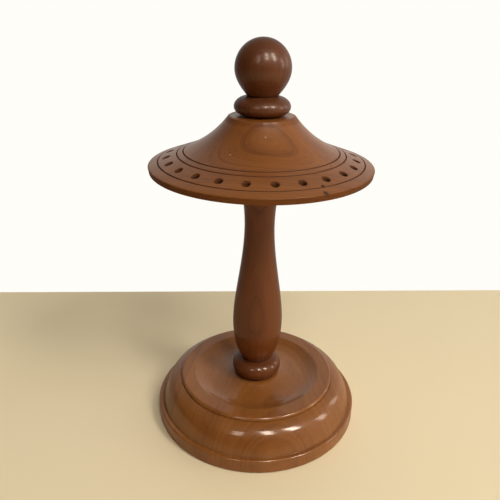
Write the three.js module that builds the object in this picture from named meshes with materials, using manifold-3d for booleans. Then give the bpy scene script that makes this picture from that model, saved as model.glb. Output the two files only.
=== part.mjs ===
// Turned wooden earring stand. Four turned pieces carry the design: a moulded base with a
// shallow dish, a vase-shaped column, a coned disc with a ring of hook holes, and a ball
// finial. The disc turns on a dowel between the column and the finial.
// Millimetres, +Z up, origin at the centre of the resting face, -Y is the front.

import * as THREE from 'three';
import { mergeVertices } from 'three/addons/utils/BufferGeometryUtils.js';
import Module from 'manifold-3d';

const wasm = await Module();
wasm.setup();

// ---- Driving dimensions ------------------------------------------------------------------

const GAP = 0.3;                  // clearance between pieces that meet
const WIDE_SEGMENTS = 48;         // facets round the base and the disc
const SLIM_SEGMENTS = 32;         // facets round the column, finial and other slim pieces

const FELT_RADIUS = 51.5;
const FELT_THICKNESS = 1.7;
const FELT_PROUD = 0.5;           // the pad stands this far below the wood

const BASE_RADIUS = 61.45;
const LEDGE_HEIGHT = 8.7;         // top of the upright rim at the foot of the base
const LEDGE_INNER_RADIUS = 58.9;
const RIM_RADIUS = 46.9;          // outer edge of the flat ring round the dish
const RIM_HEIGHT = 25.5;
const RIM_STEP = 2.0;             // step between the ovolo and the flat ring
const DISH_EDGE_RADIUS = 38.5;
const DISH_LOW_RADIUS = 26.9;
const DISH_FLOOR_HEIGHT = 21.8;
const BOSS_RADIUS = 14.0;         // flat in the middle of the dish, under the column
const BOSS_HEIGHT = 24.2;

const TENON_RADIUS = 8.0;
const TENON_BOTTOM = 10.8;
const BEAD_RADIUS = 14.8;         // the beads of the column and the finial
const FOOT_BEAD_HALF_HEIGHT = 5.4;
const VASE_NECK_RADIUS = 8.8;     // where the vase stands on the foot bead
const VASE_NECK_HEIGHT = 36.0;
const VASE_RADIUS = 14.5;
const VASE_BELLY_HEIGHT = 61.5;
const WAIST_RADIUS = 8.35;
const WAIST_HEIGHT = 123.0;
const FLARE_RADIUS = 11.4;        // the waist flares to this under the top bead
const FLARE_HEIGHT = 148.2;
const COLUMN_TOP = 157.5;
const TOP_BEAD_HALF_HEIGHT = 4.5;

const DOWEL_RADIUS = 4.0;
const DOWEL_BOTTOM = 138.3;
const DOWEL_TOP = 198.4;
const WASHER_RADIUS = 9.5;
const WASHER_THICKNESS = 0.8;

const DISC_RADIUS = 60.0;
const DISC_BOTTOM = 155.5;
const DISC_EDGE_TOP = 158.95;
const DISC_HUB_RADIUS = 20.0;     // flat under the disc, on the washer
const CONE_INNER_RADIUS = 43.0;   // the straight cone ends here and the rising arc begins
const CONE_INNER_HEIGHT = 165.0;
const CROWN_RADIUS = 18.2;
const CROWN_HEIGHT = 183.0;
const DISC_TOP = 184.0;
const GROOVE_RADII = [54.85, 44.75, 41.4];
const GROOVE_WIDTH = 0.7;
const GROOVE_DEPTH = 0.45;
const HOOK_HOLES = 24;
const HOOK_CIRCLE_RADIUS = 50.2;
const HOOK_HOLE_RADIUS = 1.6;

const FINIAL_BOTTOM = DISC_TOP + GAP;
const FINIAL_BEAD_HEIGHT = 189.1;
const FINIAL_BEAD_HALF_HEIGHT = FINIAL_BEAD_HEIGHT - FINIAL_BOTTOM;
const BALL_NECK_RADIUS = 8.1;
const BALL_NECK_HEIGHT = 194.2;
const BALL_RADIUS = 14.5;
const BALL_EQUATOR_HEIGHT = 207.4;
const BALL_TOP = 222.2;

const SCREW_HEAD_RADIUS = 4.2;
const SCREW_HEAD_BOTTOM = 2.6;
const SCREW_SHANK_RADIUS = 2.2;
const SCREW_ROOT_RADIUS = 1.6;
const SCREW_THREAD_START = 12.0;
const SCREW_PITCH = 2.0;
const SCREW_TURNS = 10;

// ---- Drawing and turning -----------------------------------------------------------------

// Half a cross-section as [radius, height] points, drawn with the wood on its left.
class Profile {
  constructor(radius, height) {
    this.points = [new THREE.Vector2(radius, height)];
  }

  line(...ends) {
    for (const [radius, height] of ends) this.points.push(new THREE.Vector2(radius, height));
    return this;
  }

  // Straight to the arc's first end, then round it; angles in degrees from the +radius side.
  arc(centreRadius, centreHeight, halfWidth, halfHeight, from, to, steps) {
    const [start, end] = [from, to].map(THREE.MathUtils.degToRad);
    const curve = new THREE.EllipseCurve(centreRadius, centreHeight, halfWidth, halfHeight, start, end);
    this.points.push(...curve.getPoints(steps));
    return this;
  }

  // A smooth curve that leaves and arrives in the given directions, in degrees from the
  // +radius side; each pull is how far the curve keeps to its end's direction.
  curve(leave, leavePull, end, arrive, arrivePull, steps) {
    const start = this.points.at(-1);
    const last = new THREE.Vector2(...end);
    const [out, home] = [leave, arrive].map((degrees) => {
      const angle = THREE.MathUtils.degToRad(degrees);
      return new THREE.Vector2(Math.cos(angle), Math.sin(angle));
    });
    const bezier = new THREE.CubicBezierCurve(
      start,
      out.multiplyScalar(leavePull).add(start),
      home.multiplyScalar(-arrivePull).add(last),
      last,
    );
    this.points.push(...bezier.getPoints(steps).slice(1));
    return this;
  }

  close() {
    this.points.push(this.points[0].clone());
    return this;
  }
}

// A lathe turns about its own Y axis, so the result is stood up on Z.
function turned(profile, segments) {
  return new THREE.LatheGeometry(profile.points, segments).rotateX(Math.PI / 2);
}

function piece(name, geometry, color, roughness, metalness = 0) {
  const mesh = new THREE.Mesh(geometry, new THREE.MeshStandardMaterial({ color, roughness, metalness }));
  mesh.name = name;
  return mesh;
}

function toSolid(geometry) {
  const bare = geometry.clone();
  bare.deleteAttribute('normal');
  bare.deleteAttribute('uv');
  const welded = mergeVertices(bare, 1e-4);
  return new wasm.Manifold(new wasm.Mesh({
    numProp: 3,
    vertProperties: new Float32Array(welded.attributes.position.array),
    triVerts: new Uint32Array(welded.index.array),
  }));
}

function toGeometry(solid) {
  const mesh = solid.getMesh();
  const geometry = new THREE.BufferGeometry();
  geometry.setAttribute('position', new THREE.BufferAttribute(new Float32Array(mesh.vertProperties), 3));
  geometry.setIndex(new THREE.BufferAttribute(new Uint32Array(mesh.triVerts), 1));
  geometry.computeVertexNormals();
  return geometry;
}

// ---- Base, its screw and its felt --------------------------------------------------------

function feltPad() {
  const chamfer = 0.3;
  const profile = new Profile(0, 0)
    .line([FELT_RADIUS - chamfer, 0], [FELT_RADIUS, chamfer])
    .line([FELT_RADIUS, FELT_THICKNESS], [0, FELT_THICKNESS]);
  return turned(profile, WIDE_SEGMENTS);
}

function base() {
  const screwHole = SCREW_SHANK_RADIUS + GAP;
  const recessTop = FELT_THICKNESS + GAP;
  const recessRadius = FELT_RADIUS + GAP;
  const sinkRadius = SCREW_HEAD_RADIUS + 1;
  const sinkTop = 6.0;
  const mortiseRadius = TENON_RADIUS + GAP;
  const footChamfer = 0.8;
  const ledgeRound = 1.1;
  const rimRound = 1.5;
  const profile = new Profile(screwHole, sinkTop)
    .line([sinkRadius, sinkTop], [sinkRadius, recessTop], [recessRadius, recessTop])
    .line([recessRadius, FELT_PROUD], [BASE_RADIUS - footChamfer, FELT_PROUD])
    .line([BASE_RADIUS, FELT_PROUD + footChamfer])
    .arc(BASE_RADIUS - ledgeRound, LEDGE_HEIGHT - ledgeRound, ledgeRound, ledgeRound, 0, 90, 3)
    .line([LEDGE_INNER_RADIUS, LEDGE_HEIGHT])
    .curve(111, 11.8, [RIM_RADIUS + 0.3, RIM_HEIGHT - RIM_STEP - 0.1], 160, 6.6, 8)
    .line([RIM_RADIUS, RIM_HEIGHT - RIM_STEP])
    .arc(RIM_RADIUS - rimRound, RIM_HEIGHT - rimRound, rimRound, rimRound, 0, 90, 2)
    .line([DISH_EDGE_RADIUS, RIM_HEIGHT - 0.1])
    .curve(206, 4.5, [DISH_LOW_RADIUS, DISH_FLOOR_HEIGHT], 181, 5.5, 7)
    .curve(181, 5.0, [BOSS_RADIUS, BOSS_HEIGHT], 158, 4.5, 5)
    .line([mortiseRadius, BOSS_HEIGHT], [mortiseRadius, TENON_BOTTOM - GAP], [screwHole, TENON_BOTTOM - GAP])
    .close();
  return turned(profile, WIDE_SEGMENTS);
}

// A countersunk wood screw driven upwards through the base into the column's tenon.
function baseScrew() {
  const headTop = SCREW_HEAD_BOTTOM + 2.6;
  const profile = new Profile(0, SCREW_HEAD_BOTTOM)
    .line([SCREW_HEAD_RADIUS, SCREW_HEAD_BOTTOM], [SCREW_HEAD_RADIUS, SCREW_HEAD_BOTTOM + 0.4])
    .line([SCREW_SHANK_RADIUS, headTop], [SCREW_SHANK_RADIUS, SCREW_THREAD_START]);
  for (let turn = 0; turn < SCREW_TURNS; turn += 1) {
    const start = SCREW_THREAD_START + turn * SCREW_PITCH;
    profile.line([SCREW_ROOT_RADIUS, start + SCREW_PITCH * 0.3]);
    profile.line([SCREW_ROOT_RADIUS, start + SCREW_PITCH * 0.7]);
    profile.line([SCREW_SHANK_RADIUS, start + SCREW_PITCH]);
  }
  const threadEnd = SCREW_THREAD_START + SCREW_TURNS * SCREW_PITCH;
  profile.line([0, threadEnd + SCREW_PITCH]);
  return turned(profile, 12);
}

// ---- Column ------------------------------------------------------------------------------

function column() {
  const pilotRadius = SCREW_SHANK_RADIUS + GAP;
  const pilotTop = SCREW_THREAD_START + (SCREW_TURNS + 1) * SCREW_PITCH + 1.5;
  const footBottom = BOSS_HEIGHT + GAP;
  const socketRadius = DOWEL_RADIUS + GAP;
  const foot = { core: 9.9, rise: FOOT_BEAD_HALF_HEIGHT };
  const cap = { core: 10.2, rise: TOP_BEAD_HALF_HEIGHT };
  const profile = new Profile(0, pilotTop)
    .line([pilotRadius, pilotTop], [pilotRadius, TENON_BOTTOM], [TENON_RADIUS, TENON_BOTTOM])
    .line([TENON_RADIUS, footBottom])
    .arc(foot.core, footBottom + foot.rise, BEAD_RADIUS - foot.core, foot.rise, -85, 80, 9)
    .line([VASE_NECK_RADIUS, VASE_NECK_HEIGHT])
    .curve(50, 5.2, [VASE_RADIUS, VASE_BELLY_HEIGHT], 90, 12.0, 7)
    .curve(90, 17.5, [WAIST_RADIUS, WAIST_HEIGHT], 90, 22.0, 9)
    .curve(90, 9.5, [FLARE_RADIUS, FLARE_HEIGHT], 77, 7.4, 5)
    .arc(cap.core, COLUMN_TOP - cap.rise, BEAD_RADIUS - cap.core, cap.rise, -70, 90, 7)
    .line([socketRadius, COLUMN_TOP], [socketRadius, DOWEL_BOTTOM - GAP], [0, DOWEL_BOTTOM - GAP]);
  return turned(profile, SLIM_SEGMENTS);
}

// ---- Pivot -------------------------------------------------------------------------------

function pivotDowel() {
  const chamfer = 0.8;
  const profile = new Profile(0, DOWEL_BOTTOM)
    .line([DOWEL_RADIUS - chamfer, DOWEL_BOTTOM], [DOWEL_RADIUS, DOWEL_BOTTOM + chamfer])
    .line([DOWEL_RADIUS, DOWEL_TOP - chamfer], [DOWEL_RADIUS - chamfer, DOWEL_TOP], [0, DOWEL_TOP]);
  return turned(profile, SLIM_SEGMENTS);
}

function thrustWasher() {
  const bottom = COLUMN_TOP + GAP;
  const bore = DOWEL_RADIUS + GAP;
  const profile = new Profile(bore, bottom)
    .line([WASHER_RADIUS, bottom], [WASHER_RADIUS, bottom + WASHER_THICKNESS])
    .line([bore, bottom + WASHER_THICKNESS])
    .close();
  return turned(profile, SLIM_SEGMENTS);
}

// ---- Disc --------------------------------------------------------------------------------

const CONE_OUTER_RADIUS = DISC_RADIUS - 0.6;
const CONE_ANGLE = Math.atan2(CONE_INNER_HEIGHT - DISC_EDGE_TOP, CONE_OUTER_RADIUS - CONE_INNER_RADIUS);
const ARC_MEAN_ANGLE = Math.atan2(CROWN_HEIGHT - CONE_INNER_HEIGHT, CONE_INNER_RADIUS - CROWN_RADIUS);
const CROWN_ANGLE = 2 * ARC_MEAN_ANGLE - CONE_ANGLE;
const ARC_RADIUS = (CONE_INNER_RADIUS - CROWN_RADIUS) / (Math.sin(CROWN_ANGLE) - Math.sin(CONE_ANGLE));

// Height of the disc's upper face: a straight cone, then an arc that starts tangent to it.
function discTopHeight(radius) {
  if (radius >= CONE_INNER_RADIUS) {
    return CONE_INNER_HEIGHT - (radius - CONE_INNER_RADIUS) * Math.tan(CONE_ANGLE);
  }
  const slope = Math.asin(Math.sin(CONE_ANGLE) + (CONE_INNER_RADIUS - radius) / ARC_RADIUS);
  return CONE_INNER_HEIGHT + ARC_RADIUS * (Math.cos(CONE_ANGLE) - Math.cos(slope));
}

function discProfile() {
  const bore = DOWEL_RADIUS + GAP + 0.1;
  const hubHeight = COLUMN_TOP + 2 * GAP + WASHER_THICKNESS;
  const edgeRound = 0.6;
  const arcSteps = 9;
  const profile = new Profile(bore, hubHeight)
    .line([DISC_HUB_RADIUS, hubHeight])
    .curve(0, 16.0, [DISC_RADIUS - 3.5, DISC_BOTTOM + 0.1], -16, 8.8, 5)
    .line([DISC_RADIUS - edgeRound, DISC_BOTTOM], [DISC_RADIUS, DISC_BOTTOM + edgeRound])
    .line([DISC_RADIUS, DISC_EDGE_TOP - edgeRound], [CONE_OUTER_RADIUS, DISC_EDGE_TOP]);
  for (const radius of GROOVE_RADII) {
    const [outer, inner] = [radius + GROOVE_WIDTH / 2, radius - GROOVE_WIDTH / 2];
    profile.line([outer, discTopHeight(outer)], [radius, discTopHeight(radius) - GROOVE_DEPTH]);
    profile.line([inner, discTopHeight(inner)]);
  }
  const arcStart = GROOVE_RADII.at(-1) - GROOVE_WIDTH / 2;
  for (let step = 1; step <= arcSteps; step += 1) {
    const radius = THREE.MathUtils.lerp(arcStart, CROWN_RADIUS, step / arcSteps);
    profile.line([radius, discTopHeight(radius)]);
  }
  return profile
    .line([CROWN_RADIUS - 0.4, DISC_TOP - 0.4], [CROWN_RADIUS - 1.2, DISC_TOP], [bore, DISC_TOP])
    .close();
}

// The hook holes are drilled parallel to the axis, half a pitch either side of the front.
function earringDisc() {
  let solid = toSolid(turned(discProfile(), WIDE_SEGMENTS));
  const length = 2 * (CONE_INNER_HEIGHT - DISC_BOTTOM);
  for (let hole = 0; hole < HOOK_HOLES; hole += 1) {
    const angle = (hole + 0.5) * 2 * Math.PI / HOOK_HOLES;
    const drill = new THREE.CylinderGeometry(HOOK_HOLE_RADIUS, HOOK_HOLE_RADIUS, length, 12)
      .rotateX(Math.PI / 2)
      .translate(0, -HOOK_CIRCLE_RADIUS, discTopHeight(HOOK_CIRCLE_RADIUS))
      .rotateZ(angle);
    solid = solid.subtract(toSolid(drill));
  }
  return toGeometry(solid);
}

// ---- Finial ------------------------------------------------------------------------------

function finial() {
  const socketRadius = DOWEL_RADIUS + GAP;
  const socketTop = DOWEL_TOP + GAP;
  const beadCore = 9.2;
  const profile = new Profile(0, socketTop)
    .line([socketRadius, socketTop], [socketRadius, FINIAL_BOTTOM])
    .arc(beadCore, FINIAL_BEAD_HEIGHT, BEAD_RADIUS - beadCore, FINIAL_BEAD_HALF_HEIGHT, -90, 98, 10)
    .line([BALL_NECK_RADIUS, BALL_NECK_HEIGHT])
    .curve(48, 5.0, [BALL_RADIUS, BALL_EQUATOR_HEIGHT], 90, 5.1, 6)
    .arc(0, BALL_EQUATOR_HEIGHT, BALL_RADIUS, BALL_TOP - BALL_EQUATOR_HEIGHT, 0, 90, 8);
  return turned(profile, SLIM_SEGMENTS);
}

// ---- Assembly ----------------------------------------------------------------------------

const stand = new THREE.Group();
stand.add(piece('felt_pad', feltPad(), 0x3a2a20, 0.95));
stand.add(piece('base', base(), 0x8a4f2b, 0.35));
stand.add(piece('base_screw', baseScrew(), 0xb5b0a6, 0.35, 0.9));
stand.add(piece('column', column(), 0x6b3219, 0.35));
stand.add(piece('pivot_dowel', pivotDowel(), 0xc9a878, 0.7));
stand.add(piece('thrust_washer', thrustWasher(), 0xe6e2d8, 0.5));
stand.add(piece('finial', finial(), 0x64301a, 0.3));

const turningDisc = new THREE.Group();
turningDisc.add(piece('earring_disc', earringDisc(), 0x85492a, 0.35));
stand.add(turningDisc);

export default stand;
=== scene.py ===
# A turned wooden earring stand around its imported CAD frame. +Z up, -Y is the front. Outlines are
# drawn in millimetres and scaled to metres when they become meshes.

import math

import bpy
import numpy as np
from mathutils import Matrix, Vector


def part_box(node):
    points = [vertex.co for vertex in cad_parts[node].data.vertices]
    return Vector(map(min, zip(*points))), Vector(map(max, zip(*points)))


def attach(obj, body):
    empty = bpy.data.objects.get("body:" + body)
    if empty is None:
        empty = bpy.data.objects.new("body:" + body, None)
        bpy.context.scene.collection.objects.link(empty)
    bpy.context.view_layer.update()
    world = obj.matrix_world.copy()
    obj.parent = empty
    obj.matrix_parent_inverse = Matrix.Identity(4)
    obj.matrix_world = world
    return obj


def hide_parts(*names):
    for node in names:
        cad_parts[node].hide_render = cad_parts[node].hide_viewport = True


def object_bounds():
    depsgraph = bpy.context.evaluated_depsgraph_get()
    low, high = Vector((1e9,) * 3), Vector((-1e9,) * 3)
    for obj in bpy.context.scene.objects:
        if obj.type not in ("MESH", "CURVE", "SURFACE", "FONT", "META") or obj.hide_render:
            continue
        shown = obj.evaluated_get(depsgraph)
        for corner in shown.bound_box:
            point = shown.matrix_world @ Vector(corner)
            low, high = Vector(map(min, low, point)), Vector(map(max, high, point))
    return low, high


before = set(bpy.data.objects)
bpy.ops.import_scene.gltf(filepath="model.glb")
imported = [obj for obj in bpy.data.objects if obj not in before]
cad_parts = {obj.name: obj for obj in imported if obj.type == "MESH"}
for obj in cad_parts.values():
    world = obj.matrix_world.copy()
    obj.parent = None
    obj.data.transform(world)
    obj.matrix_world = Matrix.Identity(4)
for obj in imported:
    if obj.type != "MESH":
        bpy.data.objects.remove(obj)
CAD_LOW, CAD_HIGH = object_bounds()

MM = 0.001
UP = (0.0, 0.0, 1.0)


class Span:
    """The radius, bottom and top of a CAD node that is round about the stand's axis, in millimetres."""

    def __init__(self, node):
        low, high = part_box(node)
        self.radius = high.x / MM
        self.bottom = low.z / MM
        self.top = high.z / MM


FELT = Span("felt_pad")
BASE = Span("base")
COLUMN = Span("column")
DOWEL = Span("pivot_dowel")
WASHER = Span("thrust_washer")
DISC = Span("earring_disc")
FINIAL = Span("finial")


# ---- Camera, stage and light ---------------------------------------------------------------

CAMERA_DISTANCE = 0.28743       # in front of the stand's axis
CAMERA_HEIGHT = 0.2369
CAMERA_TURN = -0.01776          # radians, to the right of straight ahead
CAMERA_DIP = 0.4118             # radians below level
CAMERA_LEAN = 0.0159            # radians that the camera is rolled
CAMERA_LENS = 39.525            # on a 36 mm sensor
CAMERA_SHIFT = (-0.0005, -0.0133)    # the photo's crop isn't centred, in picture widths
TABLE_END = 0.148               # where the table stops behind the stand
TABLE_TURN = 3.4                # degrees that its far edge is turned
STAGE_REACH = 6.0               # how far the table runs to the sides and the front
# How bright the room is towards each side.
ROOM_RIGHT, ROOM_BACK, ROOM_UP = 0.72, 1.0, 0.16
ROOM_LEFT, ROOM_FRONT, ROOM_DOWN = 0.0, 0.0, 0.6


def camera():
    turn, dip, lean = CAMERA_TURN, CAMERA_DIP, CAMERA_LEAN
    ahead = Vector((math.sin(turn) * math.cos(dip), math.cos(turn) * math.cos(dip), -math.sin(dip)))
    level = Vector((math.cos(turn), -math.sin(turn), 0.0))
    above = level.cross(ahead)
    right = level * math.cos(lean) + above * math.sin(lean)
    top = above * math.cos(lean) - level * math.sin(lean)
    data = bpy.data.cameras.new("camera")
    data.sensor_width = 36.0
    data.lens = CAMERA_LENS
    data.shift_x, data.shift_y = CAMERA_SHIFT
    data.clip_start = 0.01
    eye = bpy.data.objects.new("camera", data)
    eye.matrix_world = Matrix((right, top, -ahead)).transposed().to_4x4()
    eye.location = (0.0, -CAMERA_DISTANCE, CAMERA_HEIGHT)
    bpy.context.scene.collection.objects.link(eye)
    bpy.context.scene.camera = eye


def plain(name, color, roughness):
    material = bpy.data.materials.new(name)
    material.use_nodes = True
    shader = material.node_tree.nodes["Principled BSDF"]
    shader.inputs["Base Color"].default_value = (*color, 1.0)
    shader.inputs["Roughness"].default_value = roughness
    return material


def stage():
    under = CAD_LOW.z - 0.05 * MM
    turn = Matrix.Rotation(math.radians(TABLE_TURN), 3, "Z")
    corners = [(-1, -1), (1, -1), (1, 0), (-1, 0)]
    places = [turn @ Vector((x * STAGE_REACH, y * STAGE_REACH, 0)) for x, y in corners]
    mesh = bpy.data.meshes.new("table_top")
    mesh.from_pydata([(p.x, p.y + TABLE_END, under) for p in places], [], [(0, 1, 2, 3)])
    mesh.materials.append(plain("pale_table", (0.89, 0.72, 0.44), 0.6))
    table = bpy.data.objects.new("table_top", mesh)
    bpy.context.scene.collection.objects.link(table)


def direction(azimuth, elevation):
    """Away from the stand: azimuth 0 is the front and 90 the right, in degrees."""
    a, e = math.radians(azimuth), math.radians(elevation)
    return Vector((math.sin(a) * math.cos(e), -math.cos(a) * math.cos(e), math.sin(e)))


def lamp(name, azimuth, elevation, width, height, radiance, distance=1.5):
    """A soft box that faces the stand from this direction, and that the camera doesn't see."""
    data = bpy.data.lights.new(name, "AREA")
    data.shape = "RECTANGLE"
    data.size = width
    data.size_y = height
    data.energy = radiance * math.pi * width * height
    light = bpy.data.objects.new(name, data)
    light.visible_camera = False
    away = direction(azimuth, elevation)
    light.location = (CAD_LOW + CAD_HIGH) / 2 + away * distance
    light.rotation_mode = "QUATERNION"
    light.rotation_quaternion = (-away).to_track_quat("-Z", "Y")
    bpy.context.scene.collection.objects.link(light)
    return light


GLINT_COLOR = (1.0, 0.87, 0.73)
# Ceiling lamps from left to right: azimuth, elevation, radiance as light, radiance in reflections.
CEILING = (
    (-22, 38, 0.4, 9.0),
    (18, 49, 11.5, 30.0),
    (53, 43, 17.5, 38.0),
    (86, 18, 4.6, 10.0),
    (113, 16, 0.1, 5.0),
)


def lights():
    for number, (azimuth, elevation, light, glint) in enumerate(CEILING):
        soft = lamp(f"soft_{number}", azimuth, elevation, 0.34, 0.5, light)
        soft.visible_glossy = False
        shine = lamp(f"glint_{number}", azimuth, elevation, 0.24, 0.6, glint, distance=1.45)
        shine.visible_diffuse = False
        shine.data.color = GLINT_COLOR
    lamp("low_fill", 45, 16, 0.8, 0.4, 1.8).visible_glossy = False
    lamp("high_fill", 20, 65, 0.8, 0.5, 0.6).visible_glossy = False


def room():
    """A pale room whose brightness changes slowly from side to side; the camera sees it white."""
    world = bpy.data.worlds.new("room")
    world.use_nodes = True
    nodes, links = world.node_tree.nodes, world.node_tree.links

    def linked(kind, operation, *values, output=0):
        made = nodes.new(kind)
        made.operation = operation
        for socket, value in zip(made.inputs, values):
            if isinstance(value, bpy.types.NodeSocket):
                links.new(value, socket)
            else:
                socket.default_value = value
        return made.outputs[output]

    def vector(operation, *values, output=0):
        return linked("ShaderNodeVectorMath", operation, *values, output=output)

    def number(operation, *values):
        return linked("ShaderNodeMath", operation, *values)

    place = vector("NORMALIZE", nodes.new("ShaderNodeTexCoord").outputs["Generated"])
    ahead = vector("MAXIMUM", place, (0.0, 0.0, 0.0))
    behind = vector("MINIMUM", place, (0.0, 0.0, 0.0))
    far_sides = (ROOM_RIGHT, ROOM_BACK, ROOM_UP)
    near_sides = (ROOM_LEFT, ROOM_FRONT, ROOM_DOWN)
    first = vector("DOT_PRODUCT", vector("MULTIPLY", ahead, ahead), far_sides, output=1)
    second = vector("DOT_PRODUCT", vector("MULTIPLY", behind, behind), near_sides, output=1)
    glow = number("ADD", first, second)
    seen = nodes.new("ShaderNodeLightPath").outputs["Is Camera Ray"]
    strength = number("MULTIPLY_ADD", seen, number("SUBTRACT", 1.0, glow), glow)
    background = nodes["Background"]
    background.inputs["Color"].default_value = (1.0, 0.985, 0.935, 1.0)
    links.new(strength, background.inputs["Strength"])
    bpy.context.scene.world = world


# ---- Drawing and turning -------------------------------------------------------------------

STEP = 0.5                      # millimetres between points along an outline
ARC_STEP = 6.0                  # degrees between points round a small arc
SHARP = 14.0                    # degrees: a corner above this is rounded over
SANDED = 0.28                   # radius that sanding leaves on a corner


class Profile:
    """Half a cross-section as [radius, height] points, with the wood on its left."""

    def __init__(self, radius, height):
        self.points = [np.array((radius, height), float)]

    def line(self, *ends):
        self.points += [np.array(end, float) for end in ends]
        return self

    def arc(self, centre, half_size, start, end):
        """Straight to the arc's first end, then round it; degrees from the +radius side."""
        around = abs(math.radians(end - start)) * max(half_size)
        steps = max(math.ceil(abs(end - start) / ARC_STEP), math.ceil(around / STEP))
        for angle in np.radians(np.linspace(start, end, steps + 1)):
            offset = np.array((math.cos(angle), math.sin(angle))) * half_size
            self.points.append(np.array(centre, float) + offset)
        return self

    def curve(self, leave, leave_pull, end, arrive, arrive_pull):
        """A smooth curve that leaves and arrives in these directions, in degrees."""
        start, end = self.points[-1], np.array(end, float)
        out, home = (np.array((math.cos(a), math.sin(a))) for a in np.radians((leave, arrive)))
        first, second = start + out * leave_pull, end - home * arrive_pull
        steps = math.ceil(np.linalg.norm(end - start) * 1.15 / STEP)
        for t in np.linspace(0, 1, steps + 1)[1:]:
            s = 1 - t
            self.points.append(s**3 * start + 3 * s * s * t * first + 3 * s * t * t * second + t**3 * end)
        return self

    def outline(self, closed=False, soft=SANDED):
        """The points with sharp corners sanded round and long straights divided."""
        points = [self.points[0]]
        for point in self.points[1:]:
            if np.linalg.norm(point - points[-1]) > 1e-6:
                points.append(point)
        if closed and np.linalg.norm(points[0] - points[-1]) < 1e-6:
            points.pop()
        return divided(sanded(points, closed, soft), closed)


def sanded(points, closed, soft):
    result, count = [], len(points)
    for i, point in enumerate(points):
        if not closed and i in (0, count - 1):
            result.append(point)
            continue
        before, after = point - points[i - 1], points[(i + 1) % count] - point
        lengths = [np.linalg.norm(before), np.linalg.norm(after)]
        before, after = before / lengths[0], after / lengths[1]
        turn = abs(math.atan2(before[0] * after[1] - before[1] * after[0], before @ after))
        if math.degrees(turn) < SHARP:
            result.append(point)
            continue
        cut = min(soft * math.tan(turn / 2), 0.45 * lengths[0], 0.45 * lengths[1])
        start, end = point - before * cut, point + after * cut
        for t in np.linspace(0, 1, max(3, math.ceil(math.degrees(turn) / 15)) + 1):
            result.append((1 - t) ** 2 * start + 2 * t * (1 - t) * point + t * t * end)
    return result


def divided(points, closed, longest=1.2):
    result = []
    for i, point in enumerate(points):
        result.append(point)
        if i + 1 == len(points) and not closed:
            break
        after = points[(i + 1) % len(points)]
        parts = math.ceil(np.linalg.norm(after - point) / longest)
        result += [point + (after - point) * part / parts for part in range(1, parts)]
    return np.array(result)


def bend(outline, closed, width=0.7):
    """How convex (+) or hollow (-) the outline is at each point, per millimetre, smoothed."""
    before, after = outline - np.roll(outline, 1, 0), np.roll(outline, -1, 0) - outline
    if not closed:
        before[0], after[-1] = after[0], before[-1]
    turn = np.arctan2(before[:, 0] * after[:, 1] - before[:, 1] * after[:, 0], (before * after).sum(1))
    size = (np.linalg.norm(before, axis=1) + np.linalg.norm(after, axis=1)) / 2
    gaps = np.linalg.norm(outline[:, None] - outline[None], axis=2)
    near = np.exp(-0.5 * (gaps / width) ** 2)
    return (near * turn).sum(1) / (near * size).sum(1)


class Solid:
    """Vertices in millimetres, faces, and a few values for each vertex that the materials read."""

    def __init__(self):
        self.places = []
        self.faces = []
        self.values = {}

    def add(self, places, **values):
        first = len(self.places)
        self.places += [tuple(p) for p in places]
        for key in set(self.values) | set(values):
            stored = self.values.setdefault(key, [0.0] * first)
            stored += list(values.get(key, [0.0] * len(places)))
        return first

    def turn(self, outline, segments, closed=False, burn=None):
        """Turns an outline about the axis; points on the axis become one vertex."""
        amount = bend(outline, closed)
        burn = np.zeros(len(outline)) if burn is None else burn
        rows = []
        for (radius, height), bent, dark in zip(outline, amount, burn):
            count = 1 if radius < 1e-6 else segments
            angles = np.arange(count) * 2 * math.pi / segments
            ring = np.stack([radius * np.sin(angles), -radius * np.cos(angles), np.full(count, height)], 1)
            first = self.add(
                ring, edge=[max(bent, 0.0)] * count, crease=[max(-bent, 0.0)] * count, burn=[dark] * count
            )
            rows.append(first if count > 1 else (first,))
        pairs = list(zip(rows[:-1], rows[1:])) + ([(rows[-1], rows[0])] if closed else [])
        for low, high in pairs:
            for i in range(segments):
                j = (i + 1) % segments
                a = [low[0]] if isinstance(low, tuple) else [low + i, low + j]
                b = [high[0]] if isinstance(high, tuple) else [high + j, high + i]
                self.faces.append(tuple(a + b))
        return self

    def piece(self, name, material):
        """Welds the vertices, smooths the normals by face area, and links the object."""
        mesh = bpy.data.meshes.new(name)
        places = np.array(self.places)
        _, first, inverse = np.unique(
            np.round(places, 4), axis=0, return_index=True, return_inverse=True
        )
        inverse = inverse.reshape(-1)
        places = places[first] * MM
        faces = []
        for face in self.faces:
            corners = [int(inverse[i]) for i in face]
            corners = [c for i, c in enumerate(corners) if c != corners[i - 1]]
            if len(corners) > 2:
                faces.append(corners)
        mesh.from_pydata(places.tolist(), [], faces)
        for key, stored in self.values.items():
            layer = mesh.attributes.new(key, "FLOAT", "POINT")
            layer.data.foreach_set("value", np.array(stored, np.float32)[first])
        mesh.validate()
        mesh.materials.append(material)
        smooth(mesh)
        made = bpy.data.objects.new(name, mesh)
        bpy.context.scene.collection.objects.link(made)
        return made


def smooth(mesh):
    """Smooth shading whose normals lean to the larger faces, so that flats stay flat."""
    mesh.shade_smooth()
    normals = np.zeros((len(mesh.vertices), 3))
    for polygon in mesh.polygons:
        weighted = np.array(polygon.normal) * polygon.area
        for vertex in polygon.vertices:
            normals[vertex] += weighted
    normals /= np.maximum(np.linalg.norm(normals, axis=1), 1e-20)[:, None]
    mesh.normals_split_custom_set_from_vertices(normals.tolist())


# ---- Materials -----------------------------------------------------------------------------

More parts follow.
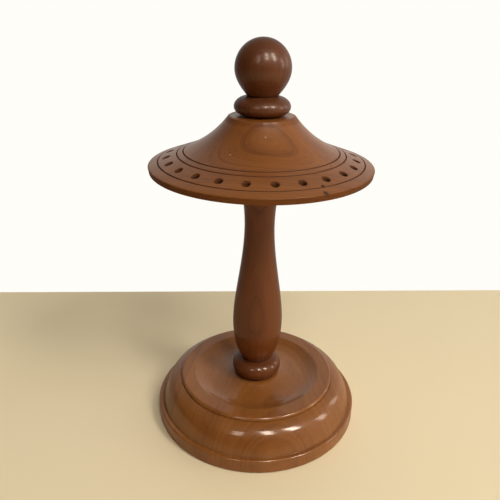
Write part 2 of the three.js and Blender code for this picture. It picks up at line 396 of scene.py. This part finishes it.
class Graph:
    """A material's node tree, with short calls that make a node and return its output."""

    def __init__(self, name):
        self.material = bpy.data.materials.new(name)
        self.material.use_nodes = True
        self.tree = self.material.node_tree
        self.shader = self.tree.nodes["Principled BSDF"]
        self.object = self.node("ShaderNodeTexCoord").outputs["Object"]

    def node(self, kind, **settings):
        made = self.tree.nodes.new(kind)
        for key, value in settings.items():
            setattr(made, key, value)
        return made

    def feed(self, socket, value):
        if isinstance(value, bpy.types.NodeSocket):
            self.tree.links.new(value, socket)
        else:
            socket.default_value = value

    def math(self, operation, *values, clamp=False):
        made = self.node("ShaderNodeMath", operation=operation, use_clamp=clamp)
        for socket, value in zip(made.inputs, values):
            self.feed(socket, value)
        return made.outputs[0]

    def vector(self, operation, *values, output=0):
        made = self.node("ShaderNodeVectorMath", operation=operation)
        for socket, value in zip(made.inputs, values):
            self.feed(socket, value)
        return made.outputs[output]

    def split(self, vector):
        made = self.node("ShaderNodeSeparateXYZ")
        self.feed(made.inputs[0], vector)
        return made.outputs

    def join(self, x, y, z):
        made = self.node("ShaderNodeCombineXYZ")
        for socket, value in zip(made.inputs, (x, y, z)):
            self.feed(socket, value)
        return made.outputs[0]

    def noise(self, place, scale, detail=2.0, roughness=0.5, dimensions="3D"):
        made = self.node("ShaderNodeTexNoise", noise_dimensions=dimensions)
        self.feed(made.inputs["W" if dimensions == "1D" else "Vector"], place)
        made.inputs["Scale"].default_value = scale
        made.inputs["Detail"].default_value = detail
        made.inputs["Roughness"].default_value = roughness
        return made.outputs["Fac"]

    def ramp(self, value, stops):
        """Stops are (position, grey) or (position, (r, g, b))."""
        made = self.node("ShaderNodeValToRGB")
        while len(made.color_ramp.elements) < len(stops):
            made.color_ramp.elements.new(1.0)
        for element, (position, color) in zip(made.color_ramp.elements, stops):
            element.position = position
            element.color = (*color, 1.0) if isinstance(color, tuple) else (color, color, color, 1.0)
        self.feed(made.inputs[0], value)
        return made.outputs[0]

    def span(self, value, low, high, to_low=0.0, to_high=1.0):
        made = self.node("ShaderNodeMapRange", interpolation_type="SMOOTHSTEP")
        for socket, item in zip(made.inputs, (value, low, high, to_low, to_high)):
            self.feed(socket, item)
        return made.outputs[0]

    def mix(self, share, first, second):
        made = self.node("ShaderNodeMix", data_type="RGBA")
        self.feed(made.inputs["Factor"], share)
        for socket, value in zip((made.inputs[6], made.inputs[7]), (first, second)):
            self.feed(socket, (*value, 1.0) if isinstance(value, tuple) else value)
        return made.outputs[2]

    def value(self, name):
        made = self.node("ShaderNodeAttribute", attribute_name=name)
        return made.outputs["Fac"]

    def bump(self, height, distance, normal=None):
        made = self.node("ShaderNodeBump")
        made.inputs["Strength"].default_value = 1.0
        made.inputs["Distance"].default_value = distance
        self.feed(made.inputs["Height"], height)
        if normal is not None:
            self.feed(made.inputs["Normal"], normal)
        return made.outputs["Normal"]


def wood(name, pith, grain, ring, light, dark, seed=0.0, knots=(), specks=(), roughness=0.5,
         coat=0.35, gloss=0.1, wander=1.0, ring_depth=0.5, end_dark=0.3, crowding=1.0, at=20.0,
         phase=0.0, heavy=None, rubbed=1.0):
    """Polished wood cut from a trunk: growth rings about a pith line, with fibres along it.

    pith is a point on the trunk's middle line, and grain is that line's direction. ring is the width
    of a year's growth where it is at from the pith, in millimetres; crowding above 1 narrows the
    rings further out, and heavy is how far from the pith one broad dark ring lies. Each knot or
    pale speck is (place, radius) on the surface. rubbed is how dull the corners are, from 0 to 1."""
    g = Graph(name)
    along = Vector(grain).normalized()
    turn = along.to_track_quat("Z", "X").to_euler()
    trunk = g.node("ShaderNodeMapping", vector_type="TEXTURE")
    g.feed(trunk.inputs["Vector"], g.object)
    trunk.inputs["Location"].default_value = Vector(pith) * MM
    trunk.inputs["Rotation"].default_value = turn
    trunk.inputs["Scale"].default_value = (MM, MM, MM)
    x, y, z = g.split(trunk.outputs[0])
    shift = g.vector("ADD", g.join(x, y, g.math("MULTIPLY", z, 0.22)), (seed, seed * 1.7, seed * 0.6))

    # How far each point is from the pith, bent by slow swells and by the knots.
    radius = g.vector("LENGTH", g.join(x, y, 0.0), output=1)
    swell = g.math("SUBTRACT", g.noise(shift, 0.035, 2.0, 0.45), 0.5)
    ripple = g.math("SUBTRACT", g.noise(shift, 0.22, 2.0, 0.5), 0.5)
    radius = g.math("MULTIPLY_ADD", swell, 2.6 * wander * ring, radius)
    radius = g.math("MULTIPLY_ADD", ripple, 0.5 * wander * ring, radius)
    knot_mask = 0.0
    ragged = g.noise(g.object, 900.0, 2.0, 0.6)
    for place, size in knots:
        away = g.vector("DISTANCE", g.object, Vector(place) * MM, output=1)
        away = g.math("DIVIDE", away, size * MM)
        pull = g.math("EXPONENT", g.math("MULTIPLY", g.math("MULTIPLY", away, away), -0.12))
        radius = g.math("MULTIPLY_ADD", pull, 0.9 * ring, radius)
        core = g.span(g.math("MULTIPLY_ADD", ragged, 1.6, away), 0.9, 1.9, 1.0, 0.0)
        knot_mask = g.math("MAXIMUM", core, knot_mask)

    # Rings: each year runs from pale early wood to a thin dark line of late wood.
    years = g.math("POWER", g.math("MAXIMUM", g.math("DIVIDE", radius, at), 0.0), crowding)
    years = g.math("MULTIPLY_ADD", years, at / (ring * crowding), phase)
    part = g.math("FRACT", years)
    late = g.ramp(part, [(0.0, 0.55), (0.05, 0.05), (0.45, 0.12), (0.78, 0.42), (0.93, 1.0), (1.0, 0.6)])
    strength = g.span(g.noise(years, 0.63, 1.0, 0.5, "1D"), 0.3, 0.72, 0.22, 1.0)
    band = g.noise(years, 0.17, 2.0, 0.5, "1D")
    lines = g.noise(radius, 0.85, 2.0, 0.6, "1D")
    mottle = g.noise(shift, 0.09, 3.0, 0.55)
    fibre_place = g.join(g.math("MULTIPLY", x, 5.5), g.math("MULTIPLY", y, 5.5), g.math("MULTIPLY", z, 0.22))
    fibre = g.noise(fibre_place, 1.0, 3.0, 0.6)
    streak_place = g.join(g.math("MULTIPLY", x, 1.3), g.math("MULTIPLY", y, 1.3), g.math("MULTIPLY", z, 0.05))
    streak = g.noise(streak_place, 1.0, 2.0, 0.5)

    depth = g.math("MULTIPLY", late, strength)
    tone = g.math("MULTIPLY_ADD", depth, ring_depth, -0.05)
    tone = g.math("MULTIPLY_ADD", g.math("SUBTRACT", band, 0.5), 1.1, tone)
    tone = g.math("MULTIPLY_ADD", g.math("SUBTRACT", lines, 0.5), 0.35, tone)
    tone = g.math("MULTIPLY_ADD", g.math("SUBTRACT", mottle, 0.5), 0.5, tone)
    tone = g.math("MULTIPLY_ADD", g.math("SUBTRACT", streak, 0.5), 0.45, tone)
    tone = g.math("MULTIPLY_ADD", g.math("SUBTRACT", fibre, 0.5), 0.5, tone)
    if heavy:
        from_heavy = g.math("DIVIDE", g.math("SUBTRACT", radius, heavy), ring)
        dark_ring = g.ramp(from_heavy, [(0.0, 0.0), (0.02, 1.0), (0.12, 0.55), (0.5, 0.0)])
        tone = g.math("MULTIPLY_ADD", dark_ring, 0.42, tone)
    tone = g.math("ADD", tone, 0.30, clamp=True)
    color = g.mix(tone, light, dark)

    # End grain drinks more finish; corners are rubbed paler; hollows are painted darker, partly as old polish
    # and partly as painted shade.
    facing = g.node("ShaderNodeTexCoord").outputs["Normal"]
    end_grain = g.math("ABSOLUTE", g.vector("DOT_PRODUCT", facing, tuple(along), output=1))
    color = g.mix(g.span(end_grain, 0.55, 1.0, 0.0, end_dark), color, dark)
    burn = g.value("burn")
    edge = g.math("MULTIPLY", g.span(g.value("edge"), 0.35, 1.6, 0.0, 0.25), g.math("SUBTRACT", 1.0, burn))
    crease = g.span(g.value("crease"), 0.3, 1.4, 0.0, 0.6)
    stain_and_shade = tuple(c * 0.16 for c in dark)
    color = g.mix(edge, color, tuple(min(1.0, c * 1.35) for c in light))
    # Painted shade: hollows and creases are darkened, partly for old polish and partly for the shade that
    # falls in them.
    color = g.mix(crease, color, stain_and_shade)
    color = g.mix(knot_mask, color, stain_and_shade)
    for place, size in specks:
        away = g.vector("DISTANCE", g.object, Vector(place) * MM, output=1)
        color = g.mix(g.span(away, 0.5 * size * MM, size * MM, 0.6, 0.0), color, (0.50, 0.30, 0.15))
    # Near-black where the vertex value asks for it: real burned lines in the grooves, and painted shade in
    # the hook holes and on the disc rim's side.
    color = g.mix(burn, color, (0.042, 0.013, 0.006))
    g.feed(g.shader.inputs["Base Color"], color)

    wear = g.noise(g.object, 90.0, 3.0, 0.6)
    rough = g.math("MULTIPLY_ADD", g.math("SUBTRACT", wear, 0.5), 0.16, roughness)
    rough = g.math("MULTIPLY_ADD", depth, -0.04, rough)
    rough = g.math("MULTIPLY_ADD", crease, 0.25, rough)
    g.feed(g.shader.inputs["Roughness"], g.math("MULTIPLY_ADD", burn, 0.4, rough))
    g.shader.inputs["Specular IOR Level"].default_value = 0.2
    if coat:
        dull = g.math("MAXIMUM", g.math("MULTIPLY", burn, 3.0, clamp=True), g.math("MULTIPLY", crease, 2.0))
        corners = g.span(g.value("edge"), 0.25, 0.8, 0.0, rubbed)
        matt = g.math("MAXIMUM", dull, g.math("MAXIMUM", corners, knot_mask))
        g.feed(g.shader.inputs["Coat Weight"], g.math("MULTIPLY_ADD", matt, -coat, coat))
    g.shader.inputs["Coat Roughness"].default_value = gloss
    g.shader.inputs["Coat IOR"].default_value = 1.8
    g.shader.inputs["IOR"].default_value = 1.35

    relief = g.math("MULTIPLY_ADD", depth, 0.5, g.math("MULTIPLY", fibre, 0.7))
    peel = g.noise(g.object, 420.0, 2.0, 0.5)
    normal = g.bump(peel, 0.0015 * MM)
    g.feed(g.shader.inputs["Normal"], g.bump(relief, 0.012 * MM, normal))
    g.feed(g.shader.inputs["Coat Normal"], normal)
    return g.material


def felt_cloth():
    g = Graph("felt_cloth")
    clump = g.noise(g.object, 900.0, 4.0, 0.65)
    hairs = g.noise(g.vector("MULTIPLY", g.object, (1.0, 0.35, 1.0)), 3200.0, 2.0, 0.6)
    tone = g.math("MULTIPLY_ADD", hairs, 0.5, g.math("MULTIPLY", clump, 0.5))
    dark, middle, pale = (0.018, 0.010, 0.007), (0.042, 0.024, 0.016), (0.085, 0.055, 0.038)
    color = g.ramp(tone, [(0.25, dark), (0.55, middle), (0.8, pale)])
    g.feed(g.shader.inputs["Base Color"], color)
    g.shader.inputs["Roughness"].default_value = 0.95
    g.shader.inputs["Sheen Weight"].default_value = 0.4
    g.feed(g.shader.inputs["Normal"], g.bump(tone, 0.12 * MM))
    return g.material


def steel():
    g = Graph("screw_steel")
    lathe_marks = g.noise(g.vector("MULTIPLY", g.object, (0.2, 0.2, 4.0)), 1500.0, 2.0, 0.6)
    cloud = g.noise(g.object, 500.0, 3.0, 0.6)
    color = g.ramp(cloud, [(0.3, (0.36, 0.33, 0.27)), (0.7, (0.62, 0.57, 0.46))])
    g.feed(g.shader.inputs["Base Color"], color)
    g.shader.inputs["Metallic"].default_value = 1.0
    g.feed(g.shader.inputs["Roughness"], g.math("MULTIPLY_ADD", cloud, 0.25, 0.22))
    g.feed(g.shader.inputs["Normal"], g.bump(lathe_marks, 0.01 * MM))
    return g.material


def nylon():
    g = Graph("washer_nylon")
    cloud = g.noise(g.object, 350.0, 3.0, 0.55)
    color = g.ramp(cloud, [(0.3, (0.66, 0.63, 0.55)), (0.7, (0.78, 0.76, 0.70))])
    g.feed(g.shader.inputs["Base Color"], color)
    g.feed(g.shader.inputs["Roughness"], g.math("MULTIPLY_ADD", cloud, 0.2, 0.38))
    g.shader.inputs["Subsurface Weight"].default_value = 0.15
    g.shader.inputs["Subsurface Scale"].default_value = 0.5 * MM
    g.feed(g.shader.inputs["Normal"], g.bump(g.noise(g.object, 2500.0, 2.0), 0.006 * MM))
    return g.material


# ---- Base ----------------------------------------------------------------------------------

def base():
    screw_hole, screw_sink, sink_top = 2.5, 5.2, 6.0
    recess, recess_top = FELT.radius + 0.3, 2.0
    mortise, mortise_bottom = 8.3, 10.5
    foot_corner, ledge_round, ledge_inner = 0.4, 1.1, BASE.radius - 2.6
    ledge = BASE.bottom + 8.2
    rim, rim_top = BASE.radius - 14.55, BASE.top
    step, crease = rim_top - 1.9, rim_top - 2.4
    dish_edge = (rim - 8.4, rim_top - 0.1)
    dish_low = (rim - 20.0, rim_top - 3.7)
    boss, boss_top = 14.0, rim_top - 1.3
    profile = Profile(screw_hole, sink_top)
    profile.line((screw_sink, sink_top), (screw_sink, recess_top), (recess, recess_top))
    profile.line((recess, BASE.bottom), (BASE.radius - foot_corner, BASE.bottom))
    profile.line((BASE.radius, BASE.bottom + foot_corner))
    profile.arc((BASE.radius - ledge_round, ledge - ledge_round), (ledge_round, ledge_round), 0, 90)
    profile.line((ledge_inner, ledge))
    profile.curve(111, 11.8, (rim + 0.3, rim_top - 2.1), 160, 6.6)
    profile.line((rim, crease), (rim, step))
    profile.arc((rim - 1.6, rim_top - 1.5), (1.6, 1.5), 0, 90)
    profile.line(dish_edge)
    profile.curve(206, 4.5, dish_low, 181, 5.5)
    profile.curve(181, 5.0, (boss, boss_top), 158, 4.5)
    profile.line((mortise, boss_top), (mortise, mortise_bottom), (screw_hole, mortise_bottom))
    made = Solid().turn(profile.outline(closed=True), 224, closed=True)
    finish = wood(
        "base_wood", pith=(11, -55, 5), grain=(0.05, 1, -0.2), ring=2.0, at=45, crowding=2.0,
        light=(0.292, 0.101, 0.0175), dark=(0.122, 0.032, 0.006), seed=3.1, end_dark=0.05, ring_depth=0.22,
        wander=0.4, gloss=0.14, rubbed=0.1,
    )
    return made.piece("turned_base", finish)


# ---- Column --------------------------------------------------------------------------------

def column():
    pilot, pilot_top, tenon = 2.5, 35.5, 8.0
    foot_bottom, foot_core, foot_rise = BASE.top - 1.0, 9.9, 5.4
    cap_core, cap_rise = 10.2, 4.5
    neck, belly, waist, flare = (8.8, 36.0), (COLUMN.radius, 61.5), (8.5, 123.0), (11.4, 148.2)
    socket, socket_bottom = 4.3, 138.0
    profile = Profile(0, pilot_top)
    profile.line((pilot, pilot_top), (pilot, COLUMN.bottom), (tenon, COLUMN.bottom), (tenon, foot_bottom))
    profile.arc((foot_core, foot_bottom + foot_rise), (COLUMN.radius - foot_core, foot_rise), -85, 80)
    profile.line(neck)
    profile.curve(50, 5.2, belly, 90, 12.0)
    profile.curve(90, 17.5, waist, 90, 22.0)
    profile.curve(90, 9.5, flare, 77, 7.4)
    profile.arc((cap_core, COLUMN.top - cap_rise), (COLUMN.radius - cap_core, cap_rise), -70, 90)
    profile.line((socket, COLUMN.top), (socket, socket_bottom), (0, socket_bottom))
    made = Solid().turn(profile.outline(), 128)
    finish = wood(
        "column_wood", pith=(4.4, 62, 70), grain=(0.0, 0.075, 1.0), ring=1.2, heavy=75.65,
        light=(0.150, 0.039, 0.0064), dark=(0.061, 0.0137, 0.0031), seed=8.4, ring_depth=0.28, wander=0.6,
        coat=0.17,
    )
    return made.piece("turned_column", finish)


# ---- Disc ----------------------------------------------------------------------------------

HUB, HUB_HEIGHT = 20.0, COLUMN.top + 1.4    # the flat under the disc, on the washer
CONE_FOOT = DISC.radius - 0.6
CONE_INNER, CONE_INNER_TOP = 43.0, 165.0
EDGE_TOP = DISC.bottom + 3.45
CROWN, CROWN_TOP = 18.2, DISC.top - 1.0
CONE_ANGLE = math.atan2(CONE_INNER_TOP - EDGE_TOP, CONE_FOOT - CONE_INNER)
CROWN_ANGLE = 2 * math.atan2(CROWN_TOP - CONE_INNER_TOP, CONE_INNER - CROWN) - CONE_ANGLE
ARC_RADIUS = (CONE_INNER - CROWN) / (math.sin(CROWN_ANGLE) - math.sin(CONE_ANGLE))
GROOVES = (54.85, 44.75, 41.4)  # radii of the burned lines
GROOVE_HALF_WIDTH, GROOVE_DEPTH = 0.4, 0.42
HOLES, HOLE_CIRCLE, HOLE = 24, 50.2, 1.6
RIM_SHADE = 0.5                  # painted shade darkens its side, and its coat is dulled
CROWN_BURN = 0.2                # the corner under the finial is rubbed dull
BORE_GRAIN_AND_SHADE = 0.7                 # how dark the holes are painted: partly darker end grain, partly painted shade inside them
BAND = (HOLE_CIRCLE - 2.9, HOLE_CIRCLE + 2.9)    # the ring of wood that the holes are drilled in
SECTOR_STEPS = 9
DISC_SEGMENTS = HOLES * SECTOR_STEPS


def disc_top(radius):
    """The upper face's height: a straight cone, then an arc tangent to it."""
    if radius >= CONE_INNER:
        return CONE_INNER_TOP - (radius - CONE_INNER) * math.tan(CONE_ANGLE)
    slope = math.asin(math.sin(CONE_ANGLE) + (CONE_INNER - radius) / ARC_RADIUS)
    return CONE_INNER_TOP + ARC_RADIUS * (math.cos(CONE_ANGLE) - math.cos(slope))


def underside():
    """The lower face's outline, from the hub out to the rim."""
    hub = Profile(HUB, HUB_HEIGHT)
    hub.curve(0, 16.0, (DISC.radius - 3.5, DISC.bottom + 0.1), -16, 8.8)
    return np.array(hub.points)


def disc():
    lower = underside()
    bore = 4.4

    def disc_bottom(radius):
        return float(np.interp(radius, lower[:, 0], lower[:, 1]))

    inner = Profile(BAND[0], disc_top(BAND[0]))
    outer = Profile(BAND[1], disc_bottom(BAND[1]))
    outer.line(*[tuple(p) for p in lower if p[0] > BAND[1] + 0.1])
    outer.line((DISC.radius - 0.75, DISC.bottom), (DISC.radius - 0.5, DISC.bottom + 0.25))
    outer.line((DISC.radius, EDGE_TOP - 0.5), (DISC.radius - 0.3, EDGE_TOP - 0.15), (CONE_FOOT, EDGE_TOP))
    for groove in GROOVES:
        side = outer if groove > BAND[1] else inner
        for offset in (GROOVE_HALF_WIDTH, 0.0, -GROOVE_HALF_WIDTH):
            depth = GROOVE_DEPTH if offset == 0 else 0.0
            side.line((groove + offset, disc_top(groove + offset) - depth))
    outer.line((BAND[1], disc_top(BAND[1])))
    last = GROOVES[-1] - GROOVE_HALF_WIDTH
    for radius in np.linspace(last, CROWN, 60)[1:]:
        inner.line((radius, disc_top(radius)))
    inner.line((CROWN - 0.4, DISC.top - 0.4), (CROWN - 1.2, DISC.top), (bore, DISC.top))
    inner.line((bore, HUB_HEIGHT))
    inner.line(*[tuple(p) for p in lower if p[0] < BAND[0] - 0.1], (BAND[0], disc_bottom(BAND[0])))

    made = Solid()
    for side in (inner, outer):
        outline = side.outline(soft=0.16)
        nearest = np.min([np.abs(outline[:, 0] - groove) for groove in GROOVES], axis=0)
        burn = np.clip(1.5 - nearest / 0.3, 0, 1) * (outline[:, 1] > EDGE_TOP)
        # Painted shade on the rim's side: its colour is darkened and its coat dulled.
        on_rim = (outline[:, 0] > DISC.radius - 0.6) & (outline[:, 1] < EDGE_TOP - 0.3)
        burn = np.maximum(burn, RIM_SHADE * on_rim)
        from_crown = np.hypot(outline[:, 0] - CROWN, outline[:, 1] - CROWN_TOP)
        burn = np.maximum(burn, CROWN_BURN * np.clip(2.2 - from_crown / 1.1, 0, 1))
        made.turn(outline, DISC_SEGMENTS, burn=burn)
    for hole in range(HOLES):
        drill(made, (hole + 0.5) * 2 * math.pi / HOLES, disc_bottom)
    finish = wood(
        "disc_wood", pith=(6.4, -33.8, 187.4), grain=(1, 0.05, -0.06), ring=2.4, at=17, crowding=1.8,
        phase=0.96, heavy=16.4, light=(0.262, 0.081, 0.010), dark=(0.106, 0.026, 0.0036), seed=5.7,
        wander=0.3, ring_depth=0.42, gloss=0.24,
        knots=[((29.6, -51.1, 159.1), 1.9), ((28.6, -46.1, 160.9), 1.3)],
        specks=[((1.9, -23.0, 177.5), 0.6), ((-14.8, -28.8, 170.1), 0.6)],
    )
    return made.piece("turned_disc", finish)


def drill(solid, angle, disc_bottom, lip=0.8, wall_rows=5):
    """One hook hole and the sector of the disc's two faces round it."""
    half, rows = math.pi / HOLES, 8
    spread = np.linspace(-half, half, SECTOR_STEPS + 1)
    reach = np.linspace(BAND[0], BAND[1], rows + 1)
    edge = [(BAND[1], s) for s in spread[:-1]] + [(r, half) for r in reach[:0:-1]]
    edge += [(BAND[0], s) for s in spread[:0:-1]] + [(r, -half) for r in reach[:-1]]
    edge = np.array([(r * math.sin(s), r * math.cos(s)) for r, s in edge])
    away = edge - (0, HOLE_CIRCLE)
    towards = away / np.linalg.norm(away, axis=1)[:, None]

    def ring(plan, height, burn):
        x, y = plan[:, 0], -plan[:, 1]
        c, s = math.cos(angle), math.sin(angle)
        places = np.stack([c * x - s * y, s * x + c * y, height], 1)
        return solid.add(places, burn=[burn] * len(places))

    def lid(face, sink):
        rings = []
        for share in (0.0, 0.2, 0.4, 0.6, 0.8, 0.93):
            plan = edge + (towards * (HOLE + lip) + (0, HOLE_CIRCLE) - edge) * share
            height = np.array([face(math.hypot(*p)) for p in plan])
            rings.append(ring(plan, height, 0.0))
        # The lips and walls are painted darker: end grain and painted shade inside the hole.
        for turn in np.radians((0, 22.5, 45, 67.5, 90)):
            plan = towards * (HOLE + lip * (1 - math.sin(turn))) + (0, HOLE_CIRCLE)
            height = np.array([face(math.hypot(*p)) for p in plan]) - sink * lip * (1 - math.cos(turn))
            rings.append(ring(plan, height, BORE_GRAIN_AND_SHADE * min(1.0, 2.5 * math.sin(turn))))
        return rings, plan, height

    upper, plan, top = lid(disc_top, 1)
    under, _, bottom = lid(disc_bottom, -1)
    walls = [ring(plan, top + (bottom - top) * row / wall_rows, BORE_GRAIN_AND_SHADE) for row in range(1, wall_rows)]
    rings = upper + walls + under[::-1]
    count = len(edge)
    for first, second in zip(rings[:-1], rings[1:]):
        for i in range(count):
            j = (i + 1) % count
            solid.faces.append((first + i, first + j, second + j, second + i))


# ---- Finial --------------------------------------------------------------------------------

def finial():
    socket, socket_top = 4.3, DOWEL.top + 0.3
    bead, bead_top = FINIAL.bottom + 4.2, FINIAL.bottom + 9.6
    low_core, high_core = 9.2, 7.2
    neck = (8.1, FINIAL.bottom + 9.9)
    ball, ball_half = 14.5, 14.8
    equator = FINIAL.top - ball_half
    profile = Profile(0, socket_top)
    profile.line((socket, socket_top), (socket, FINIAL.bottom))
    profile.arc((low_core, bead), (FINIAL.radius - low_core, bead - FINIAL.bottom), -90, 0)
    profile.arc((high_core, bead), (FINIAL.radius - high_core, bead_top - bead), 0, 84)
    profile.line(neck)
    profile.curve(48, 5.0, (ball, equator), 90, 5.1)
    profile.arc((0, equator), (ball, ball_half), 0, 90)
    made = Solid().turn(profile.outline(), 128)
    finish = wood(
        "finial_wood", pith=(-6, 55, 208), grain=(0.02, 0.02, 1.0), ring=1.3,
        light=(0.124, 0.035, 0.0085), dark=(0.058, 0.0150, 0.0048), seed=12.9, ring_depth=0.6,
        coat=0.17, gloss=0.22,
    )
    return made.piece("turned_finial", finish)


# ---- Hidden pieces -------------------------------------------------------------------------

def dowel():
    chamfer = 0.8
    profile = Profile(0, DOWEL.bottom)
    profile.line((DOWEL.radius - chamfer, DOWEL.bottom), (DOWEL.radius, DOWEL.bottom + chamfer))
    profile.line((DOWEL.radius, DOWEL.top - chamfer), (DOWEL.radius - chamfer, DOWEL.top), (0, DOWEL.top))
    finish = wood(
        "dowel_wood", pith=(30, 40, 170), grain=UP, ring=1.6, light=(0.62, 0.44, 0.25),
        dark=(0.42, 0.27, 0.14), seed=20.3, roughness=0.6, coat=0.0,
    )
    return Solid().turn(profile.outline(), 64).piece("beech_dowel", finish)


def washer():
    bore = 4.3
    profile = Profile(bore, WASHER.bottom)
    profile.line((WASHER.radius, WASHER.bottom), (WASHER.radius, WASHER.top), (bore, WASHER.top))
    made = Solid().turn(profile.outline(closed=True, soft=0.2), 96, closed=True)
    return made.piece("nylon_washer", nylon())


def felt():
    profile = Profile(0, FELT.bottom)
    profile.line((FELT.radius, FELT.bottom), (FELT.radius, FELT.top), (0, FELT.top))
    return Solid().turn(profile.outline(soft=0.6), 160).piece("felt_disc", felt_cloth())


camera()
stage()
room()
lights()
for build, node, body, slot in (
    (base, "base", "stand", "base_wood"),
    (column, "column", "stand", "column_wood"),
    (disc, "earring_disc", "disc", "disc_wood"),
    (finial, "finial", "stand", "finial_wood"),
    (dowel, "pivot_dowel", "stand", "dowel_wood"),
    (washer, "thrust_washer", "stand", "washer_nylon"),
    (felt, "felt_pad", "stand", "felt"),
):
    made = build()
    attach(made, body)
    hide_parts(node)
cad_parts["base_screw"].data.materials.clear()
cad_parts["base_screw"].data.materials.append(steel())

bpy.context.scene.view_settings.view_transform = "Standard"
